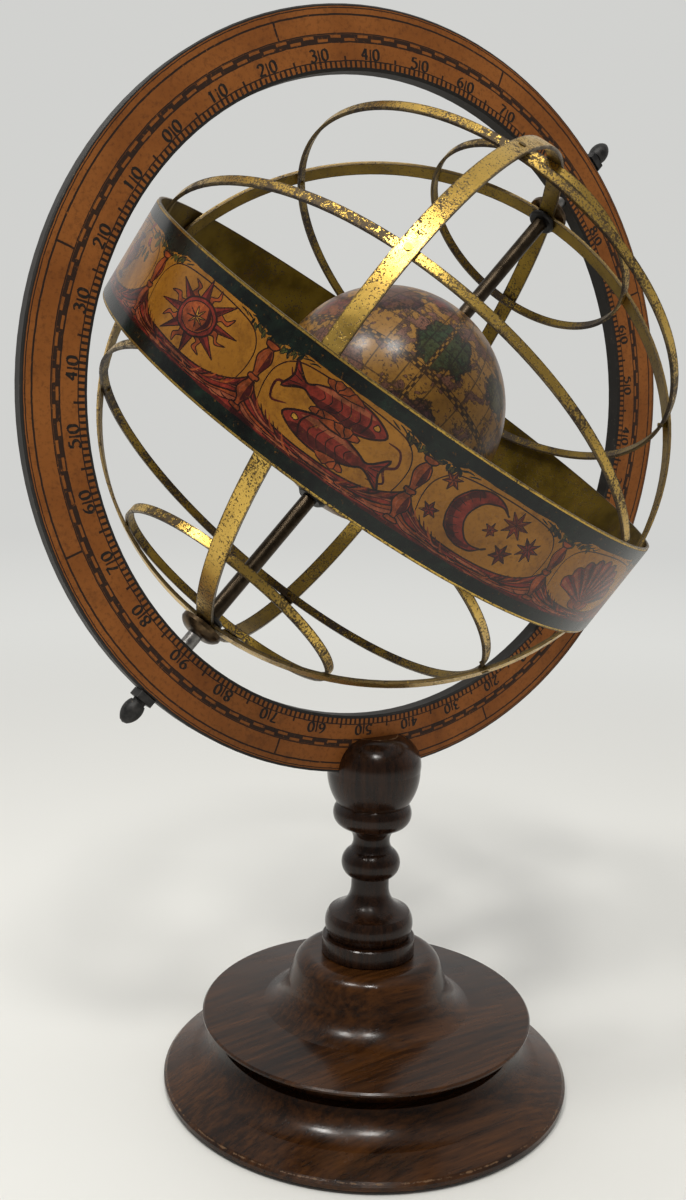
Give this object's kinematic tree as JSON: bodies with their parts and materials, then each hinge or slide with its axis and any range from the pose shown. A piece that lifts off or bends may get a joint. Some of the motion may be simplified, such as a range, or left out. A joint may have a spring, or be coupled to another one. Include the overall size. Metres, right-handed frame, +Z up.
{
  "type": "armillary sphere",
  "caption": "Desk armillary sphere with a printed globe, brass hoops and a zodiac band inside a wooden meridian ring on a turned wooden stand.",
  "frame": {"origin": "middle of the stand's underside, where the felt rests on the table", "axes": "+Z up along the column, X along the plane of the meridian ring with the north end of the polar axis towards +X, the ring's front face towards -Y"},
  "size_m": [0.264, 0.2016, 0.384],
  "materials": {
    "stained_wood": "glossy dark walnut stain",
    "black_painted_wood": "worn black paint",
    "ring_paper": "matte aged print",
    "band_paper": "varnished aged print",
    "globe_paper": "varnished aged print",
    "brass": "tarnished and pitted",
    "dark_bronze": "dark patina",
    "blackened_iron": "matte black",
    "steel": "dull grey",
    "felt": "felt"
  },
  "bodies": {
    "stand": {"felt_pad": "felt", "base_plinth": "stained_wood", "base_bell": "stained_wood", "base_collar": "stained_wood", "column": "stained_wood", "base_screw": "steel", "meridian_ring": "black_painted_wood", "ring_scale_front": "ring_paper", "ring_scale_back": "ring_paper", "axle": "steel", "sleeve_north": "steel", "sleeve_south": "steel", "tube_north": "dark_bronze", "tube_south": "dark_bronze", "nut_north": "blackened_iron", "nut_south": "blackened_iron", "finial_north": "blackened_iron", "finial_south": "blackened_iron"},
    "cage": {"colure_solstitial": "brass", "colure_equinoctial": "brass", "equator_ring": "brass", "tropic_north": "brass", "tropic_south": "brass", "arctic_circle": "brass", "antarctic_circle": "brass", "zodiac_band": "brass", "zodiac_print": "band_paper", "hub_north": "dark_bronze", "hub_south": "dark_bronze", "washer_north": "blackened_iron", "washer_south": "blackened_iron", "cage_rivets": "brass", "band_rivets": "brass"},
    "globe": {"globe_ball": "globe_paper", "bush_north": "blackened_iron", "bush_south": "blackened_iron"}
  },
  "joints": [
    {"name": "cage_turn", "type": "hinge", "parent": "stand", "child": "cage", "pos_m": [0, 0, 0.252], "axis": [0.6884, 0, 0.7254], "continuous": true},
    {"name": "globe_turn", "type": "hinge", "parent": "stand", "child": "globe", "pos_m": [0, 0, 0.252], "axis": [0.6884, 0, 0.7254], "continuous": true}
  ]
}
